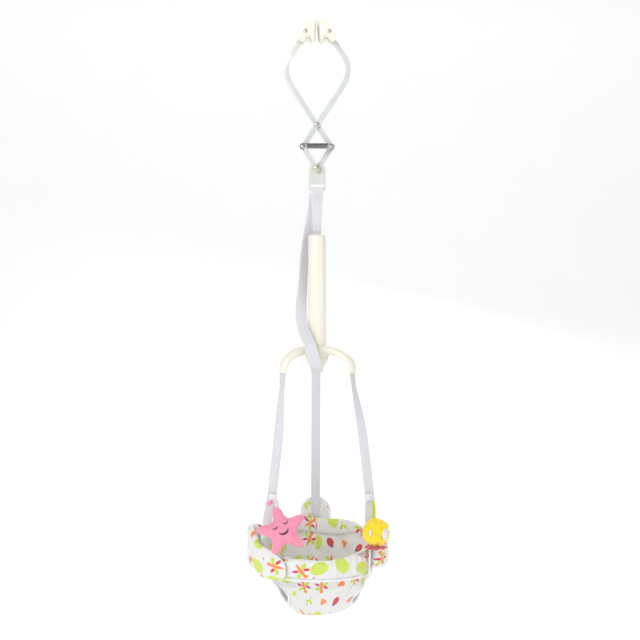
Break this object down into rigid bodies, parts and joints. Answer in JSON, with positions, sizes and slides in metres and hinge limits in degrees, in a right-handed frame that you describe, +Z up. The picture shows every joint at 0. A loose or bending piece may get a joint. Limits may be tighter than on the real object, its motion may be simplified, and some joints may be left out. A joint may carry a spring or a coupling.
{
  "type": "doorway activity jumper",
  "caption": "Baby doorway jumper: spring clamp for a door frame, bounce spring in a tube, yoke and straps, printed cloth seat, plush star and plush ball.",
  "frame": {"origin": "midway between the gripping faces of the clamp's two jaws", "axes": "+Z up along the hanging object, +X across the clamp from the left arm to the right arm, +Y to the back of the seat"},
  "size_m": [0.286, 0.2543, 1.2106],
  "materials": {
    "painted_steel": "satin white paint",
    "ivory_plastic": "moulded ivory plastic",
    "grip_rubber": "soft cream rubber",
    "nickel": "nickel plate",
    "zinc_wire": "zinc plated spring wire",
    "brass": "pale brass",
    "webbing": "woven polyester webbing",
    "printed_cotton": "printed cotton canvas",
    "pink_plush": "short pile plush",
    "yellow_plush": "long pile plush",
    "lime_ribbon": "ribbon",
    "crimson_felt": "felt"
  },
  "bodies": {
    "clamp_pivot": {"clamp_pivot_rivet": "nickel"},
    "arm_left": {"arm_left": "painted_steel", "side_rivet_right": "nickel"},
    "arm_right": {"arm_right": "painted_steel", "side_rivet_left": "nickel"},
    "jaw_left": {"jaw_left": "ivory_plastic", "jaw_grip_left": "grip_rubber", "jaw_pin_left": "nickel"},
    "jaw_right": {"jaw_right": "ivory_plastic", "jaw_grip_right": "grip_rubber", "jaw_pin_right": "nickel"},
    "link_left": {"link_left": "painted_steel"},
    "link_right": {"link_right": "painted_steel"},
    "lower_pivot": {"lower_rivet": "nickel", "lower_washer": "brass"},
    "clamp_spring": {"clamp_spring": "zinc_wire"},
    "clamp_spring_end": {"clamp_spring_hook": "zinc_wire"},
    "hanger": {"hanger_plate": "painted_steel"},
    "upper_strap": {"upper_strap": "webbing", "strap_d_ring": "nickel", "bounce_spring": "zinc_wire", "safety_strap": "webbing"},
    "seat": {"spring_tube": "ivory_plastic", "tube_cap": "ivory_plastic", "spring_anchor_pin": "nickel", "yoke": "ivory_plastic", "yoke_funnel": "ivory_plastic", "safety_screw": "nickel", "strap_pin_left": "nickel", "strap_pin_right": "nickel", "strap_pin_back": "nickel", "strap_left": "webbing", "strap_right": "webbing", "strap_back": "webbing", "back_tab": "printed_cotton", "seat_sling": "printed_cotton", "front_roll": "printed_cotton", "back_band": "printed_cotton", "wing_left": "printed_cotton", "wing_right": "printed_cotton", "star_band": "webbing", "ball_band": "webbing"},
    "star": {"star_toy": "pink_plush", "star_tab": "pink_plush"},
    "ball": {"ball_toy": "yellow_plush", "ball_frill": "crimson_felt", "ball_ribbon": "lime_ribbon"}
  },
  "joints": [
    {"name": "clamp_open", "type": "hinge", "parent": "clamp_pivot", "child": "arm_left", "pos_m": [0, 0, -0.1895], "axis": [0, -1, 0], "range_deg": [0, 24], "stiffness_Nm_per_rad": 0.8, "springref_deg": -20.05, "deforming": ["clamp_spring", "clamp_spring_hook"]},
    {"name": "arm_right_turn", "type": "hinge", "parent": "clamp_pivot", "child": "arm_right", "pos_m": [0, 0, -0.1895], "axis": [0, 1, 0], "range_deg": [0, 24.01]},
    {"name": "jaw_left_level", "type": "hinge", "parent": "arm_left", "child": "jaw_left", "pos_m": [-0.024, 0, -0.003], "axis": [0, 1, 0], "range_deg": [0, 24.01]},
    {"name": "jaw_right_level", "type": "hinge", "parent": "arm_right", "child": "jaw_right", "pos_m": [0.024, 0, -0.003], "axis": [0, -1, 0], "range_deg": [0, 24.01]},
    {"name": "link_left_turn", "type": "hinge", "parent": "arm_right", "child": "link_left", "pos_m": [-0.02986, 0, -0.23461], "axis": [0, -1, 0], "range_deg": [0, 48.01]},
    {"name": "link_right_turn", "type": "hinge", "parent": "arm_left", "child": "link_right", "pos_m": [0.02986, 0, -0.23461], "axis": [0, 1, 0], "range_deg": [0, 48.01]},
    {"name": "lower_pivot_turn", "type": "hinge", "parent": "link_right", "child": "lower_pivot", "pos_m": [0, 0, -0.27973], "axis": [0, -1, 0], "range_deg": [0, 24.01]},
    {"name": "clamp_spring_level", "type": "hinge", "parent": "arm_right", "child": "clamp_spring", "pos_m": [-0.02986, 0, -0.23461], "axis": [0, -1, 0], "range_deg": [0, 24.01]},
    {"name": "clamp_spring_stretch", "type": "slide", "parent": "clamp_spring", "child": "clamp_spring_end", "axis": [1, 0, 0], "range_m": [0, 0.0317]},
    {"name": "hanger_swing", "type": "hinge", "parent": "lower_pivot", "child": "hanger", "pos_m": [0, 0, -0.27973], "axis": [0, 1, 0], "range_deg": [-30, 30]},
    {"name": "strap_swing", "type": "hinge", "parent": "hanger", "child": "upper_strap", "pos_m": [0, 0, -0.322], "axis": [1, 0, 0], "range_deg": [-25, 25]},
    {"name": "bounce", "type": "slide", "parent": "upper_strap", "child": "seat", "axis": [0, 0, -1], "range_m": [0, 0.1], "stiffness_N_per_m": 450, "springref_m": -0.06, "deforming": ["bounce_spring", "safety_strap"]},
    {"name": "star_swing", "type": "hinge", "parent": "seat", "child": "star", "pos_m": [-0.086, -0.068, -0.953], "axis": [-1, 0, 0], "range_deg": [0, 45]},
    {"name": "ball_swing", "type": "hinge", "parent": "seat", "child": "ball", "pos_m": [0.102, -0.064, -0.956], "axis": [-1, 0, 0], "range_deg": [0, 45]}
  ],
  "couplings": [
    {"joint": "arm_right_turn", "follows": "clamp_open", "ratio": 1},
    {"joint": "jaw_left_level", "follows": "clamp_open", "ratio": 1},
    {"joint": "jaw_right_level", "follows": "clamp_open", "ratio": 1},
    {"joint": "link_left_turn", "follows": "clamp_open", "ratio": 2},
    {"joint": "link_right_turn", "follows": "clamp_open", "ratio": 2},
    {"joint": "lower_pivot_turn", "follows": "clamp_open", "ratio": 1},
    {"joint": "clamp_spring_level", "follows": "clamp_open", "ratio": 1},
    {"joint": "clamp_spring_stretch", "follows": "clamp_open", "m_per_rad": 0.07529}
  ]
}
